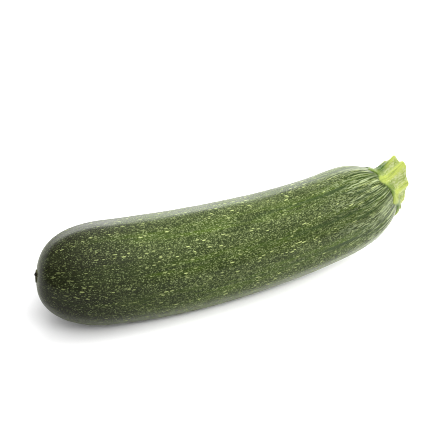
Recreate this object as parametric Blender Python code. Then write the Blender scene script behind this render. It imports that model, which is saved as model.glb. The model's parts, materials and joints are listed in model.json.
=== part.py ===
"""A courgette as picked, lying on its belly: the fruit, its cut stem and the scar of its flower.

Metres, +Z up. The fruit runs along X, with its blossom end at -X and its stem at +X. The origin is
under the middle of the whole part, on the surface that it rests on.
"""

from math import atan2, cos, exp, pi, radians, sin, tau

import bmesh
import bpy
from mathutils import Vector
from mathutils.geometry import interpolate_bezier

# The fruit's axis is one arched curve in a leaning plane.
FRUIT_SPAN = 0.1733  # blossom tip to stem seat, along X
END_RISE = 0.0044  # how much further up that plane the stem seat lies
BLOSSOM_DIP = radians(14.2)  # slope of the axis where it leaves the blossom end
STEM_CLIMB = radians(24.9)  # slope of the axis where it reaches the stem
BLOSSOM_PULL = 0.30  # length of the curve's two handles, as shares of the span
STEM_PULL = 0.21
BEND_LEAN = radians(60)  # the plane of the bend, up from the ground towards +Y
AXIS_SAMPLES = 400

# The fruit is round, 50 mm through over its ribs, and slimmer towards its stem.
BODY_RADIUS = 0.0248
NECK_RADIUS = 0.0209
NECK_FROM = 0.28  # share of the length where it starts to narrow
BLOSSOM_ROUND = 0.22  # share of the length that the rounded blossom end takes
BLOSSOM_FULLNESS = 2.53  # 2 is an ellipse, and more is blunter
SHOULDER_ROUND = 0.20  # share of the length that falls in towards the stem
SHOULDER_FULLNESS = 3.8  # 1 is a cone, and more is rounder
RIBS = 10
BODY_RIB = 0.0002  # height of the ribs along the body
SHOULDER_RIB = 0.0006  # and at the shoulder
SHOULDER_RIB_REACH = 0.14  # share of the length over which they rise
REST_DEPTH = 0.0008  # how much of the belly the flat spot takes off
FRUIT_RINGS = 42
FRUIT_SIDES = 80

# The stem is a fluted stub, cut at a slant.
STEM_RADIUS = 0.0120  # over the ridges, at its foot
STEM_WAIST = 0.0019  # how much it draws in above the foot
STEM_FLARE = 0.0019  # and how much it widens again up to the longest point
STEM_RIDGES = 8
FURROW_DEPTH = 0.0016
FURROW_SHAPE = 1.4  # 1 gives sharp ridges, and more rounds them
FOOT_HEIGHT = 0.0018  # the foot's flare dies away over this height
CUT_HEIGHT = 0.00715  # of the cut face over the seat, on the stem's axis
CUT_SLOPE = 0.56  # rise of the cut face, over its run
LONG_SIDE = radians(55)  # where round the axis the stem is longest
RIDGE_TURN = radians(20)  # the nearest ridge, past the long side
STUB_HEIGHT = 0.0160  # of the stub before it is cut
STEM_RINGS = 10
STEM_CROWDING = 1.3  # how much closer the rings lie at the foot
STEM_SIDES = 64

# The scar is a dry ring with a broken stub on its rim.
SCAR_SEAT = 0.0036  # radius of the small flat that it sits on
SCAR_RADIUS = 0.0031
SCAR_RIM = 0.0024  # radius of the ring's crest
SCAR_HEIGHT = 0.0006
SCAR_STUB = 0.0008  # height of the stub over the ring
STUB_WIDTH = radians(24)
STUB_TURN = radians(70)
SCAR_SIDES = 40
SCAR_PROFILE = ((1.0, 0.0), (1.0, 0.45), (0.9, 0.85), (0.78, 1.0), (0.66, 0.85), (0.5, 0.5), (0.2, 0.4))

GAP = 0.0003  # between two pieces that touch
SHARP_EDGE = radians(35)  # edges that bend more than this are shaded sharp

SKIN = ("courgette_skin", (0.045, 0.085, 0.018), 0.38)
STALK = ("courgette_stalk", (0.400, 0.520, 0.120), 0.50)
CORK = ("dry_scar", (0.060, 0.045, 0.025), 0.85)


def clear_scene():
    """Removes what the startup scene holds."""
    for obj in list(bpy.data.objects):
        bpy.data.objects.remove(obj)


def smooth_step(value):
    """0 below 0, 1 above 1, and a smooth rise between."""
    value = min(max(value, 0.0), 1.0)
    return value * value * (3 - 2 * value)


def rounding(value, fullness):
    """A quarter of a superellipse: 0 at 0, rising to 1 at 1."""
    value = min(max(value, 0.0), 1.0)
    return (1 - (1 - value) ** fullness) ** (1 / fullness)


class Axis:
    """The fruit's centre line, read at a share of its length."""

    up_bend = Vector((0, cos(BEND_LEAN), sin(BEND_LEAN)))
    side = Vector((1, 0, 0)).cross(up_bend)

    def __init__(self):
        tip = Vector((-FRUIT_SPAN / 2, 0, 0))
        seat = Vector((FRUIT_SPAN / 2, 0, 0)) + END_RISE * self.up_bend
        out = Vector((cos(BLOSSOM_DIP), 0, 0)) - sin(BLOSSOM_DIP) * self.up_bend
        back = Vector((cos(STEM_CLIMB), 0, 0)) + sin(STEM_CLIMB) * self.up_bend
        first = tip + BLOSSOM_PULL * FRUIT_SPAN * out
        second = seat - STEM_PULL * FRUIT_SPAN * back
        self.points = interpolate_bezier(tip, first, second, seat, AXIS_SAMPLES)
        self.runs = [0.0]
        for start, end in zip(self.points, self.points[1:]):
            self.runs.append(self.runs[-1] + (end - start).length)
        self.length = self.runs[-1]

    def frame(self, share):
        """The centre, the direction towards the stem, and the direction up the bend."""
        run = share * self.length
        i = min(max(1, sum(known < run for known in self.runs)), len(self.runs) - 1)
        start, end = self.points[i - 1], self.points[i]
        along = (run - self.runs[i - 1]) / (self.runs[i] - self.runs[i - 1])
        ahead = (end - start).normalized()
        return start.lerp(end, along), ahead, self.side.cross(ahead).normalized()

    def ring(self, share, radius_at, sides):
        """Points round the axis. radius_at gives the radius at an angle from the bend's upper side."""
        centre, _, up = self.frame(share)
        angles = [tau * i / sides for i in range(sides)]
        return [centre + radius_at(a) * (cos(a) * up + sin(a) * self.side) for a in angles]


def fruit_radius(share, angle):
    """The fruit's radius at a share of its length and an angle round it, ribs included."""
    radius = BODY_RADIUS - (BODY_RADIUS - NECK_RADIUS) * smooth_step((share - NECK_FROM) / (1 - NECK_FROM))
    tip = rounding(share / BLOSSOM_ROUND, BLOSSOM_FULLNESS)
    shoulder = 1 - (1 - min((1 - share) / SHOULDER_ROUND, 1)) ** SHOULDER_FULLNESS
    rise = smooth_step((share - 1 + SHOULDER_RIB_REACH) / SHOULDER_RIB_REACH)
    rib = BODY_RIB + (SHOULDER_RIB - BODY_RIB) * rise
    ribbed = radius + rib * cos(RIBS * angle) * smooth_step(shoulder) * smooth_step(tip)
    return STEM_RADIUS + (ribbed * tip - STEM_RADIUS) * shoulder


def blossom_seat_share():
    """Where along the axis the fruit is as wide as the scar's seat."""
    return BLOSSOM_ROUND * (1 - (1 - (SCAR_SEAT / BODY_RADIUS) ** BLOSSOM_FULLNESS) ** (1 / BLOSSOM_FULLNESS))


def loft(name, rings, finish):
    """One closed body through the rings, with a flat face on the first and on the last."""
    body = bmesh.new()
    loops = [[body.verts.new(point) for point in ring] for ring in rings]
    for near, far in zip(loops, loops[1:]):
        for i in range(len(near)):
            body.faces.new((near[i - 1], near[i], far[i], far[i - 1]))
    body.faces.new(loops[0])
    body.faces.new(loops[-1])
    bmesh.ops.recalc_face_normals(body, faces=body.faces)
    mesh = bpy.data.meshes.new(name)
    body.to_mesh(mesh)
    body.free()
    mesh.materials.append(material(*finish))
    obj = bpy.data.objects.new(name, mesh)
    bpy.context.collection.objects.link(obj)
    return obj


def slice_off(obj, point, outward):
    """Cuts the object flat at the point and drops what lies beyond it."""
    body = bmesh.new()
    body.from_mesh(obj.data)
    everything = body.verts[:] + body.edges[:] + body.faces[:]
    cut = bmesh.ops.bisect_plane(
        body, geom=everything, dist=1e-7, plane_co=point, plane_no=outward, clear_outer=True
    )
    rim = [part for part in cut["geom_cut"] if isinstance(part, bmesh.types.BMEdge)]
    bmesh.ops.contextual_create(body, geom=rim)
    bmesh.ops.recalc_face_normals(body, faces=body.faces)
    body.to_mesh(obj.data)
    body.free()


def material(name, colour, roughness):
    """A plain finish with the piece's colour."""
    finish = bpy.data.materials.new(name)
    finish.use_nodes = True
    shader = finish.node_tree.nodes["Principled BSDF"]
    shader.inputs["Base Color"].default_value = (*colour, 1)
    shader.inputs["Roughness"].default_value = roughness
    shader.inputs["Metallic"].default_value = 0.0
    finish.diffuse_color = (*colour, 1)
    return finish


def shade(obj):
    """Smooth sides, with the flat faces kept sharp at their edges."""
    obj.data.shade_smooth()
    obj.data.set_sharp_from_angle(angle=SHARP_EDGE)


def make_fruit(axis):
    """The fruit, from the scar's seat to the stem's seat, with the flat spot on its belly."""
    first = blossom_seat_share()
    rings = []
    for i in range(FRUIT_RINGS + 1):
        share = first + (1 - first) * (1 - cos(pi * i / FRUIT_RINGS)) / 2
        rings.append(axis.ring(share, lambda angle, share=share: fruit_radius(share, angle), FRUIT_SIDES))
    fruit = loft("fruit", rings, SKIN)
    belly = min(vertex.co.z for vertex in fruit.data.vertices) + REST_DEPTH
    slice_off(fruit, Vector((0, 0, belly)), Vector((0, 0, -1)))
    return fruit


def stem_radius(height, angle):
    """The stem's radius: a flared foot, a slight waist, ridges with rounded furrows between."""
    foot = exp(-height / FOOT_HEIGHT)
    crest = STEM_RADIUS - STEM_WAIST * (1 - foot) + STEM_FLARE * (height / STUB_HEIGHT) ** 2
    across = abs(sin(STEM_RIDGES * (angle - LONG_SIDE - RIDGE_TURN) / 2))
    return crest - FURROW_DEPTH * across**FURROW_SHAPE * (1 - foot / 2)


def make_stem(axis):
    """The fluted stub on the fruit's shoulder, cut off at a slant."""
    seat, ahead, up = axis.frame(1)
    foot = seat + GAP * ahead
    rings = []
    for i in range(STEM_RINGS + 1):
        height = STUB_HEIGHT * (i / STEM_RINGS) ** STEM_CROWDING
        outline = axis.ring(1, lambda angle, height=height: stem_radius(height, angle), STEM_SIDES)
        rings.append([point + (GAP + height) * ahead for point in outline])
    stem = loft("stem", rings, STALK)
    long_side = cos(LONG_SIDE) * up + sin(LONG_SIDE) * axis.side
    slice_off(stem, foot + CUT_HEIGHT * ahead, (ahead - CUT_SLOPE * long_side).normalized())
    return stem


def make_blossom_scar(axis):
    """The dry ring on the blossom end, with the broken stub standing on its rim."""
    seat, ahead, up = axis.frame(blossom_seat_share())
    rings = []
    for across, rise in SCAR_PROFILE:
        ring = []
        for i in range(SCAR_SIDES):
            angle = tau * i / SCAR_SIDES
            turn = atan2(sin(angle - STUB_TURN), cos(angle - STUB_TURN)) / STUB_WIDTH
            crest = exp(-(((across * SCAR_RADIUS - SCAR_RIM) / (SCAR_RADIUS - SCAR_RIM)) ** 2))
            height = rise * SCAR_HEIGHT + SCAR_STUB * min(rise, crest) * exp(-(turn**2))
            spoke = cos(angle) * up + sin(angle) * axis.side
            ring.append(seat - (GAP + height) * ahead + across * SCAR_RADIUS * spoke)
        rings.append(ring)
    return loft("blossom_scar", rings, CORK)


def stand_on_origin(pieces):
    """Moves the pieces' meshes together, so that the origin is under the middle of them all."""
    points = [vertex.co for piece in pieces for vertex in piece.data.vertices]
    low = Vector(min(point[k] for point in points) for k in range(3))
    high = Vector(max(point[k] for point in points) for k in range(3))
    offset = Vector(((low.x + high.x) / 2, (low.y + high.y) / 2, low.z))
    for piece in pieces:
        for vertex in piece.data.vertices:
            vertex.co -= offset


def main():
    """Builds the courgette."""
    clear_scene()
    axis = Axis()
    pieces = [make_fruit(axis), make_stem(axis), make_blossom_scar(axis)]
    stand_on_origin(pieces)
    for piece in pieces:
        shade(piece)


main()
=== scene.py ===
"""A courgette lying on a pale studio floor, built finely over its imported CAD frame.

Metres, +Z up. The fruit runs along X. Shares of its length go from 0 at the blossom end, at -X, to 1 at
the stem's seat, at +X. Angles round it are 0 at the upper side of its bend and turn towards the front, -Y.
"""

import json
import logging
from collections.abc import Callable
from dataclasses import dataclass, field
from enum import Enum
from functools import cached_property, partial
from math import cos, pi, radians, sin, tau
from typing import Any

import bpy
import numpy as np
from mathutils import Matrix, Vector
from mathutils.noise import fractal

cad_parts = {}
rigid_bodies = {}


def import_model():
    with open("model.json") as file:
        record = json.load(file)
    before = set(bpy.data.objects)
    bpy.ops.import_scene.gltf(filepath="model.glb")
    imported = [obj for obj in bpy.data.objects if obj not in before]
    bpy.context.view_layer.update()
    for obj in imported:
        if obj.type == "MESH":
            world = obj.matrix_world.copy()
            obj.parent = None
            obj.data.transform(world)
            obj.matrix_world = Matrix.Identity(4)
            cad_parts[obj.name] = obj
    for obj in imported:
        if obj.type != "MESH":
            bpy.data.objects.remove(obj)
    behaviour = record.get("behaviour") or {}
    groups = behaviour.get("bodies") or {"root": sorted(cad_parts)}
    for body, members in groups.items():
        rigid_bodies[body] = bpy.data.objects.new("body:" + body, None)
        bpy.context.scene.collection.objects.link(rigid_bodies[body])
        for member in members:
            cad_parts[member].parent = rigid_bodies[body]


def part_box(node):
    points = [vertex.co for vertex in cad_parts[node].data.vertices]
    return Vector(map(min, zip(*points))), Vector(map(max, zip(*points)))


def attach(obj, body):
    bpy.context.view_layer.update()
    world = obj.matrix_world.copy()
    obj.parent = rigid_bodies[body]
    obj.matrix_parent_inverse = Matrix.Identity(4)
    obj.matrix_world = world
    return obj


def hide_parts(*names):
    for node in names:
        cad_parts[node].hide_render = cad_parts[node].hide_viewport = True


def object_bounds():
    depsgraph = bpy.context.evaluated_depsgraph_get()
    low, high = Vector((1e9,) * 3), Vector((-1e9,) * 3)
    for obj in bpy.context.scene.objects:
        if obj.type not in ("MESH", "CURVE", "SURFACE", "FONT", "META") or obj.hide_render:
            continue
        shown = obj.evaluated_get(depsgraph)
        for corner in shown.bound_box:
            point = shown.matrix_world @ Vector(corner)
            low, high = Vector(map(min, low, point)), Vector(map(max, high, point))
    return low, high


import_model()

CAD_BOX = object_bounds()
BODY = "root"
FLOOR = "studio_floor"
MM = 0.001
RIBS = 10
Socket = bpy.types.NodeSocket

logging.basicConfig(level=logging.INFO, format="%(name)s: %(message)s")
log = logging.getLogger("courgette")


class Slot(Enum):
    """The record's material slots."""

    SKIN = "skin"
    STALK = "stalk"
    CORK = "cork"


class Node(Enum):
    """The CAD nodes that the fine pieces stand for."""

    FRUIT = "fruit"
    STEM = "stem"
    SCAR = "blossom_scar"


class Lit(Enum):
    """What a light falls on."""

    FLOOR = "floor"
    COURGETTE = "courgette"


# ---------------------------------------------------------------- numbers and meshes


def smooth_step(value: Any) -> Any:
    """0 below 0, 1 above 1, and a smooth rise between, for a number or an array."""
    value = np.clip(value, 0.0, 1.0)
    return value * value * (3 - 2 * value)


def rounding(value: np.ndarray, fullness: float) -> np.ndarray:
    """A quarter of a superellipse: 0 at 0, rising to 1 at 1."""
    value = np.clip(value, 0.0, 1.0)
    return (1 - (1 - value) ** fullness) ** (1 / fullness)


def round_axis(angle: np.ndarray, radius: Any, along: Any) -> np.ndarray:
    """Points round an axis, as rows of three, from their angles, their radii and their places along it."""
    return np.stack(np.broadcast_arrays(radius * np.cos(angle), radius * np.sin(angle), along), axis=-1)


def lumps(points: np.ndarray, size: float, octaves: int = 2) -> np.ndarray:
    """Smooth noise from about -1 to 1.

    Args:
        points: the places to read it at, with three numbers each.
        size: how far apart its lumps are.
        octaves: how many finer layers are added.

    Returns:
        One value a point.
    """
    values = [fractal(point / size, 1.0, 2.0, octaves) for point in points.reshape(-1, 3)]
    return np.array(values).reshape(points.shape[:-1])


@dataclass(frozen=True)
class Side:
    """One side of something round: its angle, and how far round from there it dies away."""

    angle: float
    width: float

    def near(self, angle: np.ndarray) -> np.ndarray:
        """1 at the side's own angle, falling away smoothly on both sides of it."""
        turn = np.angle(np.exp(1j * (angle - self.angle))) / self.width
        return np.exp(-(turn**2))


@dataclass
class Rings:
    """Rings of points from one end of a piece to the other, with the values that its finish reads."""

    sides: int
    points: list[np.ndarray] = field(default_factory=list)
    layers: dict[str, list[np.ndarray]] = field(default_factory=dict)

    def add(self, points: np.ndarray, **values: Any) -> None:
        """Adds a ring.

        Args:
            points: its points, one a side.
            values: by the layer's name, one value for the ring or one a side.
        """
        self.points.append(points)
        for name, value in values.items():
            self.layers.setdefault(name, []).append(np.broadcast_to(value, self.sides))

    def layer(self, name: str) -> np.ndarray:
        """A layer's values, as (rings, sides)."""
        return np.array(self.layers[name])


def build_mesh(name: str, rings: np.ndarray, layers: dict[str, np.ndarray]) -> bpy.types.Object:
    """Makes one closed, smooth-shaded body through a grid of rings, with a centre point closing each end.

    Args:
        name: the piece's name.
        rings: the points, as (rings, sides, 3).
        layers: values for the finish, as (rings, sides) or (rings, sides, 3), by attribute name.

    Returns:
        The piece, linked to the scene.
    """
    count, sides = rings.shape[:2]
    first, last, top = count * sides, count * sides + 1, (count - 1) * sides
    row, side = np.meshgrid(np.arange(count - 1) * sides, np.arange(sides), indexing="ij")
    after = (side + 1) % sides
    quads = np.stack([row + side, row + after, row + sides + after, row + sides + side], axis=-1)
    edges = [(a, (a + 1) % sides) for a in range(sides)]
    faces = [tuple(quad) for quad in quads.reshape(-1, 4).tolist()]
    faces += [(first, b, a) for a, b in edges]
    faces += [(last, top + a, top + b) for a, b in edges]
    mesh = bpy.data.meshes.new(name)
    mesh.from_pydata(closed(rings).tolist(), [], faces)
    for key, values in layers.items():
        flat = closed(values.reshape(count, sides, -1)).astype(np.float32)
        vector = flat.shape[1] == 3
        layer = mesh.attributes.new(key, "FLOAT_VECTOR" if vector else "FLOAT", "POINT")
        layer.data.foreach_set("vector" if vector else "value", flat.ravel())
    mesh.shade_smooth()
    mesh.validate()
    piece = bpy.data.objects.new(name, mesh)
    bpy.context.scene.collection.objects.link(piece)
    return piece


def closed(rings: np.ndarray) -> np.ndarray:
    """All the rings' rows in one list, then the means of the first ring and of the last."""
    return np.vstack([rings.reshape(-1, rings.shape[-1]), rings[0].mean(axis=0), rings[-1].mean(axis=0)])


def mount(piece: bpy.types.Object, node: Node, slot: Slot, finish: bpy.types.Material) -> None:
    """Gives a piece its finish, hides the CAD node that it stands for and reports it.

    Args:
        piece: the finished piece.
        node: the CAD node that it stands for.
        slot: the record's slot for its finish.
        finish: the material.
    """
    piece.data.materials.clear()
    piece.data.materials.append(finish)
    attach(piece, BODY)
    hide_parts(node.value)
    log.info("%s: %d faces, for %s, in %s", piece.name, len(piece.data.polygons), node.value, slot.value)


# ---------------------------------------------------------------- nodes


@dataclass(frozen=True)
class Make:
    """What all nodes of a kind have in common.

    The inputs are those that values are given for, in that order. The output is the one mostly used.
    """

    type: str
    inputs: tuple[int | str, ...] = ()
    output: int | str | None = 0
    settings: dict[str, str] = field(default_factory=dict)


class Kind(Enum):
    """The kinds of node that the finishes, the surround and the bristles are made with."""

    ADD = Make("ShaderNodeMath", (0, 1), 0, {"operation": "ADD"})
    SUBTRACT = Make("ShaderNodeMath", (0, 1), 0, {"operation": "SUBTRACT"})
    MULTIPLY = Make("ShaderNodeMath", (0, 1), 0, {"operation": "MULTIPLY"})
    COSINE = Make("ShaderNodeMath", (0,), 0, {"operation": "COSINE"})
    ABSOLUTE = Make("ShaderNodeMath", (0,), 0, {"operation": "ABSOLUTE"})
    TURN = Make("ShaderNodeMath", (0, 1), 0, {"operation": "ARCTAN2"})
    # The value, where it starts and ends changing, and what it changes from and to (0 and 1 if not given).
    FADE = Make("ShaderNodeMapRange", (0, 1, 2, 3, 4), 0, {"interpolation_type": "SMOOTHSTEP"})
    # How much of the second colour lies over the first, then the two colours.
    COVER = Make("ShaderNodeMix", (0, 6, 7), 2, {"data_type": "RGBA"})
    SCALE = Make("ShaderNodeVectorMath", (0, 1), 0, {"operation": "MULTIPLY"})
    TOWARDS = Make("ShaderNodeVectorMath", (0, 1), "Value", {"operation": "DOT_PRODUCT"})
    PARTS = Make("ShaderNodeSeparateXYZ", (0,))
    CHANCES = Make("ShaderNodeSeparateColor", (0,))
    LAYER = Make("ShaderNodeAttribute", (), "Fac")
    PLACE_LAYER = Make("ShaderNodeAttribute", (), "Vector")
    OBJECT_PLACE = Make("ShaderNodeTexCoord", (), "Object")
    WORLD_DIRECTION = Make("ShaderNodeTexCoord", (), "Generated")
    NOISE = Make("ShaderNodeTexNoise", ("Vector", "Scale", "Detail"), "Fac")
    CELLS = Make("ShaderNodeTexVoronoi", ("Vector", "Scale"), "Distance")
    BUMP = Make("ShaderNodeBump", ("Height", "Distance", "Strength"))
    SEEN_BY_CAMERA = Make("ShaderNodeLightPath", (), "Is Camera Ray")
    SHADER = Make("ShaderNodeBsdfPrincipled")
    MATERIAL_OUTPUT = Make("ShaderNodeOutputMaterial", ("Surface",), None)
    GLOW = Make("ShaderNodeBackground", ("Color", "Strength"))
    WORLD_OUTPUT = Make("ShaderNodeOutputWorld", ("Surface",), None)
    GIVEN = Make("NodeGroupInput")
    MESH_LAYER = Make("GeometryNodeInputNamedAttribute", ("Name",), 0, {"data_type": "FLOAT"})
    SCATTER = Make("GeometryNodeDistributePointsOnFaces", ("Mesh", "Density", "Seed"), "Points")
    CONE = Make("GeometryNodeMeshCone", ("Vertices", "Radius Top", "Radius Bottom", "Depth"), "Mesh")
    RANDOM_SIZE = Make("FunctionNodeRandomValue", (2, 3, "Seed"), 1, {"data_type": "FLOAT"})
    RANDOM_LEAN = Make("FunctionNodeRandomValue", (0, 1, "Seed"), 0, {"data_type": "FLOAT_VECTOR"})
    STAND = Make("GeometryNodeInstanceOnPoints", ("Points", "Instance", "Rotation", "Scale"))
    LEAN = Make("GeometryNodeRotateInstances", ("Instances", "Rotation"))
    REALIZE = Make("GeometryNodeRealizeInstances", ("Geometry",))
    SET_MATERIAL = Make("GeometryNodeSetMaterial", ("Geometry", "Material"))
    RESULT = Make("NodeGroupOutput", ("Geometry",), None)


def add_node(tree: bpy.types.NodeTree, kind: Kind, *values: Any, **settings: Any) -> Socket | None:
    """Adds a node to a tree, with its settings and links.

    Args:
        tree: the material's, world's or modifier's tree.
        kind: the kind of node.
        values: for its inputs in turn, the socket to link to it or the value to set.
        settings: the node's own properties, beyond those of its kind.

    Returns:
        The output mostly used, or None for the tree's last node. The others are reached by its .node.
    """
    make = kind.value
    node = tree.nodes.new(make.type)
    for key, value in (make.settings | settings).items():
        setattr(node, key, value)
    for key, value in zip(make.inputs, values):
        if isinstance(value, Socket):
            tree.links.new(value, node.inputs[key])
        else:
            node.inputs[key].default_value = value
    return None if make.output is None else node.outputs[make.output]


def linear(code: str) -> tuple[float, float, float, float]:
    """An sRGB hex colour, as the linear one that shaders take."""
    parts = [int(code[i : i + 2], 16) / 255 for i in (1, 3, 5)]
    return (*(p / 12.92 if p <= 0.04045 else ((p + 0.055) / 1.055) ** 2.4 for p in parts), 1.0)


def new_material(name: str) -> tuple[bpy.types.Material, bpy.types.NodeTree, bpy.types.NodeInputs]:
    """Makes a material with nothing but its shader.

    Args:
        name: the material's name.

    Returns:
        The material, its tree, and its shader's inputs.
    """
    material = bpy.data.materials.new(name)
    material.use_nodes = True
    tree = material.node_tree
    tree.nodes.clear()
    shader = add_node(tree, Kind.SHADER)
    add_node(tree, Kind.MATERIAL_OUTPUT, shader)
    return material, tree, shader.node.inputs


@dataclass(frozen=True)
class Fleck:
    """One kind of fleck. Each has a cell of its own, and its reach in it is drawn by chance.

    A least reach below 0 leaves some cells empty. Along the fruit a cell is its size over its stretch.
    """

    colour: str
    size: float
    stretch: float
    least: float
    most: float
    edge: float


@dataclass(frozen=True)
class Patterns:
    """Patterns in a material's tree, read at a place on the piece and drawn out along it."""

    tree: bpy.types.NodeTree
    place: Socket

    @cached_property
    def add(self) -> Callable[..., Socket]:
        """The function that adds a node to this tree."""
        return partial(add_node, self.tree)

    def scaled(self, size: float, stretch: float) -> Socket:
        """The place, counted in a pattern's own size."""
        return self.add(Kind.SCALE, self.place, (1 / size, 1 / size, stretch / size))

    def mottle(self, size: float, stretch: float, detail: float = 2.0) -> Socket:
        """Smooth noise from 0 to 1, of a size in metres."""
        return self.add(Kind.NOISE, self.scaled(size, stretch), 1.0, detail)

    def product(self, *values: Any) -> Socket:
        """Several values multiplied together.

        Args:
            values: two or more sockets or numbers.

        Returns:
            Their product.
        """
        result = values[0]
        for value in values[1:]:
            result = self.add(Kind.MULTIPLY, result, value)
        return result

    def flecks(self, fleck: Fleck) -> tuple[Socket, Socket]:
        """Scattered flecks, some stronger than others.

        Args:
            fleck: their size and shape.

        Returns:
            The flecks themselves, and the dark rings round them.
        """
        distance = self.add(Kind.CELLS, self.scaled(fleck.size, fleck.stretch), 1.0)
        chances = self.add(Kind.CHANCES, distance.node.outputs["Color"]).node.outputs
        reach = self.add(Kind.FADE, chances[0], 0.0, 1.0, fleck.least, fleck.most)
        inside = self.add(Kind.SUBTRACT, reach, distance)
        strength = self.add(Kind.FADE, chances[1], 0.0, 1.0, 0.45, 1.0)
        mask = self.product(self.add(Kind.FADE, inside, 0.0, fleck.edge), strength)
        return mask, self.add(Kind.FADE, inside, -0.34, -0.06)


# ---------------------------------------------------------------- the fruit


@dataclass(frozen=True)
class Centreline:
    """The fruit's centre line, one arched curve in a leaning plane, with the CAD part's measures."""

    span: float = 0.1733
    end_rise: float = 0.0044
    blossom_dip: float = radians(14.2)
    stem_climb: float = radians(24.9)
    blossom_pull: float = 0.30
    stem_pull: float = 0.21
    bend_lean: float = radians(60)
    samples: int = 4000

    @cached_property
    def up_bend(self) -> np.ndarray:
        """The direction up the bend's plane."""
        return np.array([0.0, cos(self.bend_lean), sin(self.bend_lean)])

    @cached_property
    def side(self) -> np.ndarray:
        """The direction across the bend's plane."""
        return np.cross([1.0, 0.0, 0.0], self.up_bend)

    @cached_property
    def curve(self) -> tuple[np.ndarray, np.ndarray, np.ndarray]:
        """The curve, a cubic through both ends.

        Returns:
            Points along it, its directions there, and the lengths run.
        """
        tip = np.array([-self.span / 2, 0.0, 0.0])
        seat = np.array([self.span / 2, 0.0, 0.0]) + self.end_rise * self.up_bend
        out = np.array([cos(self.blossom_dip), 0.0, 0.0]) - sin(self.blossom_dip) * self.up_bend
        back = np.array([cos(self.stem_climb), 0.0, 0.0]) + sin(self.stem_climb) * self.up_bend
        first = tip + self.blossom_pull * self.span * out
        second = seat - self.stem_pull * self.span * back
        t = np.linspace(0, 1, self.samples)[:, None]
        points = (1 - t) ** 3 * tip + 3 * (1 - t) ** 2 * t * first
        points += 3 * (1 - t) * t**2 * second + t**3 * seat
        ahead = 3 * (1 - t) ** 2 * (first - tip) + 6 * (1 - t) * t * (second - first)
        ahead += 3 * t**2 * (seat - second)
        ahead /= np.linalg.norm(ahead, axis=1, keepdims=True)
        runs = np.concatenate([[0.0], np.cumsum(np.linalg.norm(np.diff(points, axis=0), axis=1))])
        return points, ahead, runs

    @property
    def length(self) -> float:
        """The curve's length."""
        return float(self.curve[2][-1])

    def frames(self, share: np.ndarray) -> tuple[np.ndarray, np.ndarray, np.ndarray]:
        """How the curve lies at some places.

        Args:
            share: the places, as shares of its length.

        Returns:
            The centres, the directions towards the stem, and the directions up the bend.
        """
        points, ahead, runs = self.curve
        run = np.asarray(share, float) * runs[-1]
        centre = np.stack([np.interp(run, runs, points[:, k]) for k in range(3)], axis=-1)
        towards = np.stack([np.interp(run, runs, ahead[:, k]) for k in range(3)], axis=-1)
        towards /= np.linalg.norm(towards, axis=-1, keepdims=True)
        up = np.cross(self.side, towards)
        return centre, towards, up / np.linalg.norm(up, axis=-1, keepdims=True)

    def spoke(self, angle: np.ndarray, up: np.ndarray) -> np.ndarray:
        """The directions away from the curve at angles round it, where a direction is up the bend."""
        return np.cos(angle)[..., None] * up + np.sin(angle)[..., None] * self.side


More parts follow.
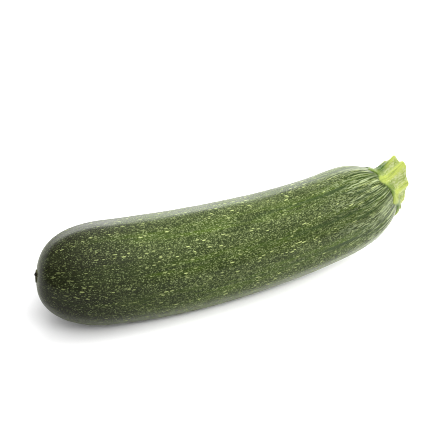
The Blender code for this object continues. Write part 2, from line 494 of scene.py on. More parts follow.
@dataclass(frozen=True)
class Fruit:
    """The fruit: its skin's form, and the fine mesh of it."""

    line: Centreline = field(default_factory=Centreline)
    body_radius: float = 0.0248
    neck_radius: float = 0.0209
    neck_from: float = 0.28
    blossom_round: float = 0.22
    blossom_fullness: float = 2.53
    shoulder_round: float = 0.20
    shoulder_fullness: float = 3.8
    body_rib: float = 0.0002
    shoulder_rib: float = 0.0006
    rib_reach: float = 0.14
    stem_radius: float = 0.0120
    scar_seat: float = 0.0036
    # The fine mesh: its rings crowd at the ends, and a small unevenness sinks its skin here and there.
    rings: int = 300
    sides: int = 240
    lump_depth: float = 0.00022
    lump_size: float = 0.016
    crease_depth: float = 0.00016
    crease_size: float = 0.0035
    crease_stretch: float = 0.12
    neck_creases: tuple[float, float] = (0.80, 0.95)
    even_end: float = 0.03
    settle: float = 0.00012
    # The skin's pattern is drawn out from the first of these shares, fully by the second.
    stretch_from: float = 0.79
    stretch_to: float = 0.96
    stretched: float = 0.24
    pace_steps: int = 2000

    def radius(self, share: np.ndarray, angle: np.ndarray) -> np.ndarray:
        """The skin's distance from the centre line.

        Args:
            share: places along it.
            angle: angles round it.

        Returns:
            The distances.
        """
        slim = smooth_step((share - self.neck_from) / (1 - self.neck_from))
        girth = self.body_radius - (self.body_radius - self.neck_radius) * slim
        tip = rounding(share / self.blossom_round, self.blossom_fullness)
        shoulder = 1 - (1 - np.minimum((1 - share) / self.shoulder_round, 1)) ** self.shoulder_fullness
        rise = smooth_step((share - 1 + self.rib_reach) / self.rib_reach)
        rib = self.body_rib + (self.shoulder_rib - self.body_rib) * rise
        ribbed = girth + rib * np.cos(RIBS * angle) * smooth_step(shoulder) * smooth_step(tip)
        return self.stem_radius + (ribbed * tip - self.stem_radius) * shoulder

    def surface(self, share: np.ndarray, angle: np.ndarray, sink: float | np.ndarray = 0.0) -> np.ndarray:
        """Points of the skin before it is moved to its place.

        Args:
            share: places along the centre line.
            angle: angles round it.
            sink: how deep under the skin's form they lie.

        Returns:
            The points.
        """
        centre, _, up = self.line.frames(share)
        return centre + (self.radius(share, angle) - sink)[..., None] * self.line.spoke(angle, up)

    @cached_property
    def first_share(self) -> float:
        """Where along the centre line the fruit is as wide as the scar's seat."""
        inner = (self.scar_seat / self.body_radius) ** self.blossom_fullness
        return self.blossom_round * (1 - (1 - inner) ** (1 / self.blossom_fullness))

    @cached_property
    def grid(self) -> tuple[np.ndarray, np.ndarray]:
        """Where the fine mesh's points are.

        Returns:
            Their shares of the length and their angles, as (rings, sides).
        """
        step = (1 - np.cos(pi * np.arange(self.rings + 1) / self.rings)) / 2
        share = self.first_share + (1 - self.first_share) * step
        return np.meshgrid(share, tau * np.arange(self.sides) / self.sides, indexing="ij")

    @cached_property
    def offset(self) -> np.ndarray:
        """How far the skin is moved to lie over the CAD fruit.

        Returns:
            The move that centres it over the node, with its highest point at the node's.
        """
        low, high = (np.array(corner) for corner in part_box(Node.FRUIT.value))
        points = self.surface(*self.grid).reshape(-1, 3)
        lowest, highest = points.min(axis=0), points.max(axis=0)
        middle = (low + high - lowest - highest) / 2
        return np.array([middle[0], middle[1], high[2] - highest[2]])

    def straightened(self, share: np.ndarray, angle: np.ndarray) -> np.ndarray:
        """Places on a straight, even fruit, where the skin's pattern is read.

        Towards the stem they crowd along the length, so that flecks there draw out into streaks.

        Args:
            share: places along the centre line.
            angle: angles round it.

        Returns:
            The places.
        """
        steps = np.linspace(0, 1, self.pace_steps)
        drawn = smooth_step((steps - self.stretch_from) / (self.stretch_to - self.stretch_from))
        pace = 1 - (1 - self.stretched) * drawn
        runs = np.concatenate([[0.0], np.cumsum((pace[1:] + pace[:-1]) / 2)])
        along = np.interp(share, steps, runs * self.line.length / (len(steps) - 1))
        return round_axis(angle, self.body_radius, along)

    def build(self) -> bpy.types.Object:
        """Makes the fine mesh of the fruit.

        Returns:
            The piece, with the attributes `place` and `share`.
        """
        share, angle = self.grid
        place = self.straightened(share, angle)
        waver = lumps(place, self.lump_size)
        lines = lumps(place * [1, 1, self.crease_stretch], self.crease_size)
        start, full = self.neck_creases
        creased = smooth_step((share - start) / (full - start)) * smooth_step((1 - share) / 0.02)
        sink = self.lump_depth * (1 + waver) / 2
        sink += self.crease_depth * (1 + lines) / 2 * (0.25 + 0.75 * creased)
        sink *= smooth_step((share - self.first_share) / self.even_end)
        points = self.surface(share, angle, sink) + self.offset
        height = points[..., 2]
        points[..., 2] = (height + np.sqrt(height**2 + self.settle**2)) / 2
        rings = [self.shrunk(points[0], (1 / 3, 2 / 3)), points, self.shrunk(points[-1], (2 / 3, 1 / 3))]
        layers = {"place": self.padded(place), "share": self.padded(share)}
        return build_mesh("courgette_fruit", np.concatenate(rings), layers)

    @staticmethod
    def shrunk(ring: np.ndarray, shares: tuple[float, float]) -> np.ndarray:
        """Smaller copies of a ring round its centre, which close an end of the mesh."""
        centre = ring.mean(axis=0)
        return np.stack([centre + (ring - centre) * share for share in shares])

    @staticmethod
    def padded(values: np.ndarray) -> np.ndarray:
        """The values with the first and last rows repeated, for the rings that close the ends."""
        return np.concatenate([np.repeat(values[:1], 2, axis=0), values, np.repeat(values[-1:], 2, axis=0)])


# ---------------------------------------------------------------- the stem


@dataclass(frozen=True)
class Stem:
    """The fluted stub: its lobed foot over the shoulder, its wall and the face where it was cut."""

    fruit: Fruit
    sides: int = 256
    gap: float = 0.0003
    # The wall, whose radius at the seat is the fruit's stem_radius.
    wall_rings: int = 44
    wall_crowding: float = 1.25
    waist: float = 0.0019
    flare: float = 0.0019
    stub_height: float = 0.0160
    ridges: int = 8
    furrow: float = 0.0016
    furrow_shape: float = 1.4
    long_side: float = radians(55)
    ridge_turn: float = radians(20)
    strand_depth: float = 0.00016
    # In radians round the wall, and in such units for each metre up it.
    strand_size: float = 0.12
    strand_stretch: float = 35.0
    # The sides that differ from the rest: two slack ridges, a broad one, and a full belly below.
    slack: Side = Side(radians(-15), radians(20))
    slack_depth: float = 0.0010
    short: Side = Side(radians(118), radians(26))
    short_depth: float = 0.0008
    broad: Side = Side(radians(66), radians(22))
    broad_shift: float = radians(9)
    broad_shape: float = 1.6
    belly: Side = Side(radians(174), radians(50))
    belly_depth: float = 0.0014
    belly_reach: float = 0.0011
    belly_drop: float = 0.0008
    belly_thickness: float = 1.2
    green: Side = Side(radians(10), radians(34))
    # The foot, which spreads over the shoulder in lobes below the ridges.
    foot_rings: int = 14
    foot_height: float = 0.0018
    foot_thickness: float = 0.0006
    foot_fade: float = 0.0012
    foot_lift: float = 0.7
    lift_fade: float = 0.0010
    lobe_reach: float = 0.0019
    lobe_least: float = 0.0006
    lobe_size: float = 0.35
    lobe_tuck: float = 0.00005
    slope_step: float = 0.002
    # The cut face: a proud skin, sunken pith, and a ring of fibre ends between them.
    face_rings: int = 30
    cut_height: float = 0.0070
    cut_slope: float = 0.56
    least_height: float = 0.001
    pith_depth: float = 0.0012
    pith_share: float = 0.42
    edge_drop: float = 0.00015
    fibre_ends: int = 10
    fibre_rise: float = 0.0002
    cut_grain: float = 0.0001
    # Bristles stand on the wall, clear of the foot and of the cut.
    bare_foot: float = 0.0003
    bare_rim: float = 0.0012

    def crest(self, angle: np.ndarray) -> np.ndarray:
        """1 on the ridges, falling to 0 in the furrows."""
        turned = angle + self.broad_shift * self.broad.near(angle)
        return 1 - np.abs(np.sin(self.ridges * (turned - self.long_side - self.ridge_turn) / 2))

    def radius(self, height: np.ndarray, angle: np.ndarray) -> np.ndarray:
        """The wall's distance from the axis.

        Args:
            height: heights over the seat.
            angle: angles round the axis.

        Returns:
            The distances.
        """
        foot = np.exp(-height / self.foot_height)
        flare = self.flare * (height / self.stub_height) ** 2
        crest = self.fruit.stem_radius - self.waist * (1 - foot) + flare
        slack = self.slack_depth * self.slack.near(angle) + self.short_depth * self.short.near(angle)
        crest = crest - slack * (1 - foot) + self.belly_depth * self.belly.near(angle)
        shape = self.furrow_shape + self.broad_shape * self.broad.near(angle)
        return crest - self.furrow * (1 - self.crest(angle)) ** shape * (1 - foot / 2)

    def cut(self, radius: np.ndarray, angle: np.ndarray) -> np.ndarray:
        """The height of the slanting cut, before the belly's side drops."""
        return self.cut_height + self.cut_slope * radius * np.cos(angle - self.long_side)

    def rim_height(self, angle: np.ndarray) -> np.ndarray:
        """How high the wall reaches before the slanting cut takes it off.

        Args:
            angle: angles round the axis.

        Returns:
            The heights, found by turns, because the wall's radius changes with its height.
        """
        height = np.full_like(angle, self.cut_height)
        for _ in range(12):
            height = self.cut(self.radius(height, angle), angle) - self.belly_drop * self.belly.near(angle)
            height = np.maximum(height, self.least_height)
        return height

    @cached_property
    def seat(self) -> tuple[np.ndarray, np.ndarray, np.ndarray]:
        """The seat's centre, the direction away from the fruit there, and the direction up its bend."""
        return self.fruit.line.frames(np.array(1.0))

    def raised(self, angle: np.ndarray, radius: np.ndarray, height: np.ndarray) -> np.ndarray:
        """Points round the stem's axis, from their distances from it and their heights over the seat."""
        centre, ahead, up = self.seat
        return centre + radius[:, None] * self.fruit.line.spoke(angle, up) + height[:, None] * ahead

    def thickness(self, angle: np.ndarray) -> np.ndarray:
        """How thick the foot is where it meets the wall."""
        return self.foot_thickness * (1 + self.belly_thickness * self.belly.near(angle))

    def add_foot(self, rings: Rings, angle: np.ndarray) -> None:
        """Adds the foot, from the tips of its lobes up to the wall.

        Args:
            rings: the stem's rings so far.
            angle: the angles of their points.
        """
        wild = lumps(round_axis(angle, 1.0, 0.0), self.lobe_size, 3)
        reach = self.lobe_least + self.lobe_reach * self.crest(angle) ** 0.7 * (1 + 0.6 * wild)
        reach = reach + self.belly_reach * self.belly.near(angle)
        up = self.seat[2]
        spoke, across = self.fruit.line.spoke(angle, up), self.fruit.line.spoke(angle + pi / 2, up)
        for i in range(self.foot_rings):
            out = 1 - i / self.foot_rings
            share = 1 - reach * out / self.fruit.line.length
            skin = self.fruit.surface(share, angle)
            slope = skin - self.fruit.surface(share - self.slope_step, angle)
            slope /= np.linalg.norm(slope, axis=1, keepdims=True)
            normal = np.cross(slope, across)
            normal *= np.sign((normal * spoke).sum(axis=1, keepdims=True))
            rise = self.thickness(angle) * (1 - out**3) - self.lobe_tuck * (i == 0)
            rings.add(skin + rise[:, None] * normal, height=-reach * out, face=0.0, foot=out, inward=1.0)

    def add_wall(self, rings: Rings, angle: np.ndarray, rim: np.ndarray) -> None:
        """Adds the wall, with the fine strands on it.

        Args:
            rings: the stem's rings so far.
            angle: the angles of their points.
            rim: how high the wall reaches.
        """
        for i in range(self.wall_rings + 1):
            part = (i / self.wall_rings) ** self.wall_crowding
            last = i == self.wall_rings
            height = rim * part
            spread = 0.6 * self.thickness(angle) * np.exp(-height / self.foot_fade)
            strands = lumps(round_axis(angle, 1.0, self.strand_stretch * height), self.strand_size, 3)
            radius = self.radius(height, angle) + spread
            radius = radius - self.strand_depth * (1 + strands) / 2 * min(1, 4 * part)
            foot = self.foot_thickness * self.foot_lift * np.exp(-height / self.lift_fade)
            lift = self.gap + height + (0.0 if last else foot)
            points = self.raised(angle, radius, lift)
            rings.add(points, height=height, face=0.5 if last else 0.0, foot=0.0, inward=1.0)

    def add_cut(self, rings: Rings, angle: np.ndarray, rim: np.ndarray) -> None:
        """Adds the cut face, from the rim to its middle.

        Args:
            rings: the stem's rings so far.
            angle: the angles of their points.
            rim: how high the wall reaches.
        """
        wall = self.radius(rim, angle)
        for i in range(1, self.face_rings + 1):
            inward = 1 - i / (self.face_rings + 1)
            drop = self.belly_drop * self.belly.near(angle) * inward**3
            height = self.cut(wall * inward, angle) - drop
            lift = self.gap + height + self.relief(inward, angle)
            points = self.raised(angle, wall * inward, lift)
            rings.add(points, height=height, face=1.0, foot=0.0, inward=inward)

    def relief(self, inward: float, angle: np.ndarray) -> np.ndarray:
        """How the cut face departs from flat.

        Args:
            inward: the ring's share of the way from the middle to the rim.
            angle: the angles of its points.

        Returns:
            The heights to add.
        """
        pith = -self.pith_depth * smooth_step((self.pith_share - inward) / self.pith_share)
        edge = -self.edge_drop * smooth_step((1 - inward) / 0.08)
        ring = np.exp(-(((inward - 0.66) / 0.07) ** 2))
        grain = lumps(round_axis(angle, inward, 3.0), 0.09, 3)
        ends = self.fibre_rise * np.cos(self.fibre_ends * angle) * ring
        return pith + edge + ends - self.cut_grain * (1 + grain)

    def build(self) -> bpy.types.Object:
        """Makes the fine mesh of the stem.

        Returns:
            The piece, with the attributes that its finish and its bristles read.
        """
        angle = tau * np.arange(self.sides) / self.sides
        rim = self.rim_height(angle)
        rings = Rings(self.sides)
        self.add_foot(rings, angle)
        self.add_wall(rings, angle, rim)
        self.add_cut(rings, angle, rim)
        layers = {name: rings.layer(name) for name in rings.layers}
        height = layers["height"]
        crest = np.broadcast_to(self.crest(angle), height.shape)
        on_wall = (layers["face"] < 0.25) & (height > self.bare_foot) & (height < rim - self.bare_rim)
        layers["place"] = round_axis(angle, self.fruit.stem_radius, height)
        layers["crest"] = crest
        layers["green"] = np.broadcast_to(self.green.near(angle), height.shape)
        layers["bristly"] = on_wall * (0.35 + 0.65 * crest)
        return build_mesh("courgette_stem", np.array(rings.points) + self.fruit.offset, layers)


@dataclass(frozen=True)
class Bristles:
    """The short stiff hairs of the stalk, set out over its wall by Geometry Nodes."""

    length: float = 0.0009
    half_width: float = 0.00005
    per_area: float = 2.2e6
    sides: int = 4
    sizes: tuple[float, float] = (0.45, 1.1)
    lean: float = 0.5
    twist: float = 3.1
    seed: int = 5

    def nodes(self, finish: bpy.types.Material) -> bpy.types.NodeTree:
        """Makes the tree: points on the wall, a four-sided cone on each, turned a little at random.

        Args:
            finish: the bristles' material.

        Returns:
            The tree, with inputs for how many there are and how long they are.
        """
        tree = bpy.data.node_groups.new("stalk_bristles", "GeometryNodeTree")
        add = partial(add_node, tree)
        sockets = tree.interface
        sockets.new_socket("Geometry", in_out="INPUT", socket_type="NodeSocketGeometry")
        sockets.new_socket("Per Area", in_out="INPUT", socket_type="NodeSocketFloat")
        sockets.new_socket("Length", in_out="INPUT", socket_type="NodeSocketFloat")
        sockets.new_socket("Geometry", in_out="OUTPUT", socket_type="NodeSocketGeometry")
        given = add(Kind.GIVEN).node.outputs
        amount = add(Kind.MULTIPLY, add(Kind.MESH_LAYER, "bristly"), given["Per Area"])
        points = add(Kind.SCATTER, given["Geometry"], amount, self.seed)
        cone = add(Kind.CONE, self.sides, 0.0, self.half_width, given["Length"])
        size = add(Kind.RANDOM_SIZE, *self.sizes, self.seed + 1)
        stood = add(Kind.STAND, points, cone, points.node.outputs["Rotation"], size)
        least, most = (-self.lean, -self.lean, 0.0), (self.lean, self.lean, self.twist)
        leant = add(Kind.LEAN, stood, add(Kind.RANDOM_LEAN, least, most, self.seed + 2))
        add(Kind.RESULT, add(Kind.SET_MATERIAL, add(Kind.REALIZE, leant), finish))
        return tree

    def build(self, wall: bpy.types.Object, finish: bpy.types.Material) -> bpy.types.Object:
        """Makes the bristles that stand on the wall.

        Args:
            wall: the stem, with its attribute `bristly`.
            finish: the bristles' material.

        Returns:
            The bristles, as a plain mesh.
        """
        modifier = wall.modifiers.new("bristles", "NODES")
        modifier.node_group = self.nodes(finish)
        values = {"Per Area": self.per_area, "Length": self.length}
        for item in modifier.node_group.interface.items_tree:
            if item.name in values:
                modifier[item.identifier] = values[item.name]
        view = bpy.context.evaluated_depsgraph_get()
        mesh = bpy.data.meshes.new_from_object(wall.evaluated_get(view), depsgraph=view)
        wall.modifiers.remove(modifier)
        mesh.name = "courgette_bristles"
        bristles = bpy.data.objects.new("courgette_bristles", mesh)
        bpy.context.scene.collection.objects.link(bristles)
        return bristles


# ---------------------------------------------------------------- the scar


@dataclass(frozen=True)
class Scar:
    """The dry ring where the flower came away, with a broken stub on its rim."""

    fruit: Fruit
    sides: int = 96
    radius: float = 0.0031
    rim: float = 0.0024
    height: float = 0.0003
    stub: Side = Side(radians(70), radians(24))
    stub_height: float = 0.0008
    gap: float = 0.0003
    sunk: float = 0.00008
    torn_size: float = 0.22
    torn_height: float = 0.35
    torn_edge: float = 0.05
    # From the edge to the middle: shares of the radius and of the height.
    profile: tuple[tuple[float, float], ...] = (
        (1.0, 0.0), (1.0, 0.45), (0.9, 0.85), (0.78, 1.0), (0.66, 0.85), (0.5, 0.5), (0.2, 0.4)
    )
    profile_height: float = 0.3
    steps: int = 26

    def build(self) -> bpy.types.Object:
        """Makes the fine mesh of the scar.

        Returns:
            The piece, with the attributes `out` and `stub`.
        """
        angle = tau * np.arange(self.sides) / self.sides
        seat, ahead, up = self.fruit.line.frames(np.array(self.fruit.first_share))
        spoke = self.fruit.line.spoke(angle, up)
        across, rise = np.array(self.profile).T
        legs = np.hypot(np.diff(across), np.diff(rise) * self.profile_height)
        runs = np.concatenate([[0.0], np.cumsum(legs)])
        at = np.linspace(0, runs[-1], self.steps)
        stub = self.stub.near(angle)
        rings = Rings(self.sides)
        for out, up_by in zip(np.interp(at, runs, across), np.interp(at, runs, rise)):
            crest = np.exp(-(((out * self.radius - self.rim) / (self.radius - self.rim)) ** 2))
            torn = (1 + lumps(round_axis(angle, out, 0.0), self.torn_size, 3)) / 2
            height = up_by * self.height * (1 - self.torn_height * torn)
            height = height + self.stub_height * min(up_by, crest) * stub
            height = height + self.gap * smooth_step(up_by / 0.2) - self.sunk * (up_by <= 0)
            radius = out * self.radius * (1 - self.torn_edge * torn)
            points = seat - height[:, None] * ahead + radius[:, None] * spoke
            rings.add(points, out=out, stub=min(1.0, 2 * crest) * stub)
        layers = {name: rings.layer(name)[::-1] for name in rings.layers}
        points = np.array(rings.points)[::-1] + self.fruit.offset
        return build_mesh("courgette_blossom_scar", points, layers)


# ---------------------------------------------------------------- finishes


@dataclass(frozen=True)
class SkinFinish:
    """Courgette skin as it grew: dark green cells under a thin wax.

    The wax gives a broad, soft shine, and its bloom a paler edge. Pale flecks lie in rows along the fruit
    and draw out into streaks at the stem. The blossom end is browner and duller, partly from its real
    browning and partly as painted shade.
    """

    deep: str = "#253206"
    grassy: str = "#435908"
    bluish: str = "#39461b"
    brown_and_shade: str = "#16140d"
    # Dark olive laid on the blossom end: its real browning, and painted shade there as well.
    bloom: str = "#e2ecae"
    streak: str = "#aab788"
    stripe: str = "#2a3d15"
    # The finest real flecks are about 0.1 mm across, too fine to show, so the finest pattern is drawn
    # with its cells 0.32 mm apart. Larger flecks are 0.4 mm apart where they crowd, and dashes 0.7 mm.
    grain: Fleck = Fleck("#79864f", 0.32 * MM, 0.50, -0.30, 0.75, 0.14)
    small: Fleck = Fleck("#9cab70", 0.42 * MM, 0.60, -1.0, 0.58, 0.08)
    dash: Fleck = Fleck("#c8d688", 0.7 * MM, 0.26, -1.3, 0.46, 0.10)
    # Rows of crowded flecks are about 2 mm apart, and paler patches of skin 9 mm across.
    row_size: float = 1.9 * MM
    row_stretch: float = 0.06
    patch_size: float = 9 * MM
    sway_size: float = 30 * MM
    sway: float = 2.6
    # Streaks by the stem are half a millimetre wide, and the dark stripes between them 1.3 mm.
    streak_size: float = 0.54 * MM
    group_size: float = 3.4 * MM
    stripe_size: float = 1.3 * MM
    # Pores are 0.1 mm apart, which is too fine to show, so they are drawn 0.8 mm apart.
    pore_size: float = 0.8 * MM
    pore_depth: float = 0.04 * MM
    roughness: float = 0.24
    wax_index: float = 1.33
    bloom_weight: float = 0.16
    bloom_roughness: float = 0.30

    def build(self) -> bpy.types.Material:
        """Makes the material.

        Returns:
            The material, for a piece with the attributes `place` and `share`.
        """
        material, tree, inputs = new_material("waxy_courgette_skin")
        place = add_node(tree, Kind.PLACE_LAYER, attribute_name="place")
        share = add_node(tree, Kind.LAYER, attribute_name="share")
        patterns = Patterns(tree, place)
        add = patterns.add
        rows = patterns.mottle(self.row_size, self.row_stretch, 3.0)
        patches = patterns.mottle(self.patch_size, 0.5, 3.0)
        parts = add(Kind.PARTS, place).node.outputs
        turns = add(Kind.MULTIPLY, add(Kind.TURN, parts[1], parts[0]), float(RIBS))
        base = self.ground(patterns, turns, rows, patches)
        base = add(Kind.COVER, patterns.flecks(self.grain)[0], base, linear(self.grain.colour))
        # The blossom end is browner and duller, its larger flecks less so: partly real browning, partly
        # painted shade.
        ragged = add(Kind.MULTIPLY, add(Kind.SUBTRACT, patches, 0.5), 0.12)
        end = add(Kind.FADE, add(Kind.ADD, share, ragged), -0.02, 0.44, 1.0, 0.0)
        base = add(Kind.COVER, add(Kind.MULTIPLY, end, 0.72), base, linear(self.brown_and_shade))
        small, ringed = patterns.flecks(self.small)
        base = self.flecked(patterns, base, rows, patches, small, ringed)
        base = self.streaked(patterns, base, share, turns)
        # Painted shade and browning darken the blossom end once more, over all its flecks.
        base = add(Kind.COVER, add(Kind.MULTIPLY, end, 0.50), base, linear(self.brown_and_shade))
        # Pores, and the flecks' slight rise.
        pores = patterns.mottle(self.pore_size, 0.7)
        relief = add(Kind.ADD, add(Kind.MULTIPLY, pores, 0.7), add(Kind.MULTIPLY, small, 0.3))
        gloss = add(Kind.FADE, patches, 0.3, 0.7, self.roughness - 0.05, self.roughness + 0.06)
        tree.links.new(base, inputs["Base Color"])
        tree.links.new(gloss, inputs["Roughness"])
        tree.links.new(add(Kind.BUMP, relief, self.pore_depth, 1.0), inputs["Normal"])
        inputs["IOR"].default_value = self.wax_index
        inputs["Sheen Weight"].default_value = self.bloom_weight
        inputs["Sheen Roughness"].default_value = self.bloom_roughness
        inputs["Sheen Tint"].default_value = linear(self.bloom)
        return material

    def ground(self, patterns: Patterns, turns: Socket, rows: Socket, patches: Socket) -> Socket:
        """The green between the flecks, deep in places and grassy or bluish band by band elsewhere.

        Args:
            patterns: the skin's patterns.
            turns: the angle round the fruit, counted in ribs.
            rows: the pattern of rows.
            patches: the pattern of patches.

        Returns:
            The colour.
        """
        add = patterns.add
        waver = add(Kind.SUBTRACT, patterns.mottle(self.sway_size, 0.5), 0.5)
        band = add(Kind.COSINE, add(Kind.ADD, turns, add(Kind.MULTIPLY, waver, self.sway)))
        banded = add(Kind.COVER, add(Kind.FADE, band, -0.8, 0.8), linear(self.grassy), linear(self.bluish))
        depth = add(Kind.FADE, add(Kind.ADD, rows, add(Kind.MULTIPLY, patches, 0.45)), 0.52, 0.98)
        return add(Kind.COVER, depth, linear(self.deep), banded)

    def flecked(
        self, patterns: Patterns, base: Socket, rows: Socket, patches: Socket, small: Socket, ringed: Socket
    ) -> Socket:
        """Lays small flecks, and larger, brighter dashes on the rows, each in a ring of darker green.

        Args:
            patterns: the skin's patterns.
            base: the colour so far.
            rows: the pattern of rows.
            patches: the pattern of patches.
            small: the small flecks.
            ringed: the dark rings round them.

        Returns:
            The colour.
        """
        add = patterns.add
        crowd = add(Kind.FADE, add(Kind.ADD, rows, patches), 0.6, 1.2, 0.55, 1.0)
        base = add(Kind.COVER, add(Kind.MULTIPLY, ringed, 0.35), base, linear(self.deep))
        base = add(Kind.COVER, add(Kind.MULTIPLY, small, crowd), base, linear(self.small.colour))
        dashes, ringed = patterns.flecks(self.dash)
        lined = add(Kind.FADE, rows, 0.42, 0.54)
        base = add(Kind.COVER, patterns.product(ringed, lined, 0.6), base, linear(self.deep))
        return add(Kind.COVER, add(Kind.MULTIPLY, dashes, lined), base, linear(self.dash.colour))

    def streaked(self, patterns: Patterns, base: Socket, share: Socket, turns: Socket) -> Socket:
        """Draws streaks out towards the stem, with dark green between them and in the furrows of the ribs.

        Args:
            patterns: the skin's patterns.
            base: the colour so far.
            share: the place along the fruit.
            turns: the angle round it, counted in ribs.

        Returns:
            The colour.
        """
        add = patterns.add
        groups = add(Kind.FADE, patterns.mottle(self.group_size, 0.3), 0.40, 0.58, 0.35, 1.0)
        streak = add(Kind.FADE, patterns.mottle(self.streak_size, 0.26, 3.0), 0.51, 0.58)
        streak = patterns.product(streak, add(Kind.FADE, share, 0.74, 0.97), groups)
        base = add(Kind.COVER, streak, base, linear(self.streak))
        wide = patterns.mottle(self.stripe_size, 0.14)
        stripe = add(Kind.FADE, wide, 0.54, 0.62)
        stripe = patterns.product(stripe, add(Kind.FADE, share, 0.74, 0.93), 0.85)
        base = add(Kind.COVER, stripe, base, linear(self.stripe))
        furrow = add(Kind.FADE, add(Kind.COSINE, turns), -0.84, -0.97)
        clearest = add(Kind.FADE, share, 0.45, 0.85, 0.1, 0.75)
        furrow = patterns.product(furrow, add(Kind.FADE, wide, 0.36, 0.50), clearest)
        return add(Kind.COVER, furrow, base, linear(self.stripe))


@dataclass(frozen=True)
class StalkFinish:
    """A fresh courgette stalk, grown in ridges and cut with a knife.

    Its skin is pale yellow-green on the ridges and greener in the furrows, with a soft shine. The cut is
    moist and lets a little light in: pale flesh, a ring of fibre ends, and drier pith.
    """

    ridge: str = "#b8c45c"
    furrow: str = "#9dab5c"
    fibre: str = "#889944"
    foot: str = "#35581a"
    hairy: str = "#c3ca94"
    flesh: str = "#b6c187"
    pith: str = "#aaa272"
    bundles: str = "#8c9f52"
    rim: str = "#6f9436"
    # Fibres are about 0.3 mm wide, which hardly shows, so they are drawn 0.7 and 0.8 mm wide.
    strand_size: float = 0.7 * MM
    fibre_size: float = 0.8 * MM
    mottle_size: float = 0.9 * MM
    bundle_size: float = 1.6 * MM
    relief: float = 0.22 * MM
    roughness: float = 0.36
    index: float = 1.42
    glow: float = 0.12
    glow_depth: float = 1.2 * MM
    glow_tint: tuple[float, float, float] = (0.9, 1.0, 0.35)

    def build(self) -> bpy.types.Material:
        """Makes the material.

        Returns:
            The material, for a piece with the stem's attributes.
        """
        material, tree, inputs = new_material("fresh_cut_stalk")
        patterns = Patterns(tree, add_node(tree, Kind.PLACE_LAYER, attribute_name="place"))
        add = patterns.add
        strands = patterns.mottle(self.strand_size, 0.12, 3.0)
        mottle = patterns.mottle(self.mottle_size, 0.7, 3.0)
        face = add(Kind.LAYER, attribute_name="face")
        colour = add(Kind.COVER, face, self.wall(patterns, strands, mottle), self.cut(patterns))
        relief = add(Kind.ADD, strands, add(Kind.MULTIPLY, mottle, 0.6))
        tree.links.new(colour, inputs["Base Color"])
        tree.links.new(add(Kind.BUMP, relief, self.relief, 1.0), inputs["Normal"])
        inputs["Roughness"].default_value = self.roughness
        inputs["IOR"].default_value = self.index
        inputs["Subsurface Weight"].default_value = self.glow
        inputs["Subsurface Radius"].default_value = self.glow_tint
        inputs["Subsurface Scale"].default_value = self.glow_depth
        return material

    def wall(self, patterns: Patterns, strands: Socket, mottle: Socket) -> Socket:
        """The colour of the wall and the foot.

        Args:
            patterns: the stalk's patterns.
            strands: the pattern of strands.
            mottle: the pattern of mottling.

        Returns:
            The colour.
        """
        add = patterns.add
        crest = add(Kind.LAYER, attribute_name="crest")
        height = add(Kind.LAYER, attribute_name="height")
        raised = add(Kind.FADE, add(Kind.ADD, crest, add(Kind.MULTIPLY, strands, 0.5)), 0.30, 0.80)
        wall = add(Kind.COVER, raised, linear(self.furrow), linear(self.ridge))
        lines = add(Kind.FADE, patterns.mottle(self.fibre_size, 0.08), 0.54, 0.62)
        wall = add(Kind.COVER, add(Kind.MULTIPLY, lines, 0.75), wall, linear(self.fibre))
        pale = add(Kind.FADE, mottle, 0.49, 0.57)
        pale = patterns.product(pale, add(Kind.FADE, crest, 0.75, 0.3), 0.8)
        wall = add(Kind.COVER, pale, wall, linear(self.hairy))
        # Green runs up from the foot in the furrows, and stays off the ridges.
        low = add(Kind.ADD, height, add(Kind.MULTIPLY, mottle, 0.003))
        low = add(Kind.FADE, low, 0.0005, 0.0058, 1.0, 0.0)
        low = add(Kind.MULTIPLY, low, add(Kind.FADE, crest, 0.42, 0.10))
        wall = add(Kind.COVER, low, wall, linear(self.foot))
        # One side of it stayed greener, most of all low down.
        green = add(Kind.LAYER, attribute_name="green")
        green = add(Kind.MULTIPLY, green, add(Kind.FADE, height, 0.001, 0.012, 1.0, 0.35))
        green = add(Kind.FADE, add(Kind.ADD, green, add(Kind.MULTIPLY, strands, 0.3)), 0.30, 0.80)
        wall = add(Kind.COVER, green, wall, linear(self.foot))
        wall = add(Kind.COVER, add(Kind.FADE, height, -0.001, 0.0045, 0.6, 0.0), wall, linear(self.fibre))
        # The foot's edge is dark between its lobes.
        margin = add(Kind.FADE, add(Kind.LAYER, attribute_name="foot"), 0.45, 1.0)
        between = add(Kind.FADE, crest, 0.75, 0.25, 0.2, 0.8)
        margin = patterns.product(margin, between, add(Kind.FADE, strands, 0.40, 0.60, 0.35, 1.0))
        return add(Kind.COVER, margin, wall, linear(self.foot))

    def cut(self, patterns: Patterns) -> Socket:
        """The colour of the cut face: pith, flesh with fibre ends in it, and the edge of the skin.

        Args:
            patterns: the stalk's patterns.

        Returns:
            The colour.
        """
        add = patterns.add
        inward = add(Kind.LAYER, attribute_name="inward")
        flesh = add(Kind.COVER, add(Kind.FADE, inward, 0.25, 0.5), linear(self.pith), linear(self.flesh))
        ends = add(Kind.FADE, patterns.mottle(self.bundle_size, 0.01, 1.0), 0.45, 0.6)
        within = add(Kind.FADE, inward, 0.68, 0.76, 1.0, 0.0)
        ring = patterns.product(add(Kind.FADE, inward, 0.58, 0.66), within, ends)
        flesh = add(Kind.COVER, ring, flesh, linear(self.bundles))
        return add(Kind.COVER, add(Kind.FADE, inward, 0.9, 0.99), flesh, linear(self.rim))


@dataclass(frozen=True)
class BristleFinish:
    """Stiff plant hair, grown and half clear: it catches the light as pale specks."""

    hair: str = "#d2d9a0"
    roughness: float = 0.45

    def build(self) -> bpy.types.Material:
        """Makes the material.

        Returns:
            The material, which is even, because a hair is thinner than any pattern that would show.
        """
        material, _, inputs = new_material("stiff_plant_hair")
        inputs["Base Color"].default_value = linear(self.hair)
        inputs["Roughness"].default_value = self.roughness
        return material


